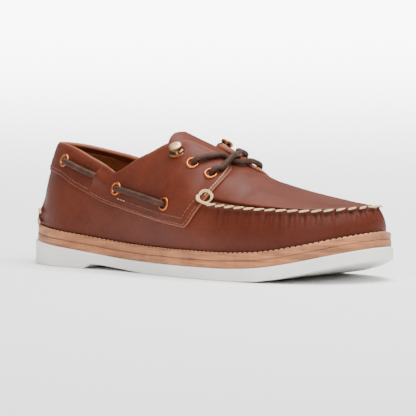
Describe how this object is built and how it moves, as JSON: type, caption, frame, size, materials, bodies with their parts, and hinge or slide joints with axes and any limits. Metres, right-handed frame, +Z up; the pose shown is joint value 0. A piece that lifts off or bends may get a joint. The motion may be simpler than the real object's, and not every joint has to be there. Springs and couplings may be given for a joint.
{
  "type": "boat shoe",
  "caption": "Leather boat shoe with a moccasin toe, laced quarters, a hollow upper, and a rubber sole under layers of leather.",
  "frame": {"origin": "on the floor, under the middle of the shoe's box", "axes": "+X from the heel to the toe, +Y to the wearer's inner side, +Z up"},
  "size_m": [0.3028, 0.1083, 0.0974],
  "materials": {
    "rubber": "matt off-white moulded rubber",
    "sole_leather": "natural tan sole leather with a trimmed edge",
    "upper_leather": "smooth red-brown leather, waxed and slightly glossy",
    "insole_leather": "plain brown lining leather",
    "lace_leather": "matt grey-brown leather lace",
    "eyelet_copper": "polished copper-coloured metal",
    "stud_gold": "polished pale gold metal"
  },
  "bodies": {
    "root": {"outsole": "rubber", "midsole": "sole_leather", "welt": "sole_leather", "insole": "insole_leather", "upper": "upper_leather", "tongue": "upper_leather", "quarter_lateral": "upper_leather", "quarter_medial": "upper_leather", "heel_band": "upper_leather", "eyelet_throat_rear_lateral": "eyelet_copper", "eyelet_throat_front_lateral": "eyelet_copper", "eyelet_side_rear_lateral": "eyelet_copper", "eyelet_side_front_lateral": "eyelet_copper", "eyelet_heel_lateral": "eyelet_copper", "stud_lateral": "stud_gold", "lace_side_lateral": "lace_leather", "lace_heel_lateral": "lace_leather", "eyelet_throat_rear_medial": "eyelet_copper", "eyelet_throat_front_medial": "eyelet_copper", "eyelet_side_rear_medial": "eyelet_copper", "eyelet_side_front_medial": "eyelet_copper", "eyelet_heel_medial": "eyelet_copper", "stud_medial": "stud_gold", "lace_side_medial": "lace_leather", "lace_heel_medial": "lace_leather", "lace_cross": "lace_leather"}
  },
  "joints": []
}
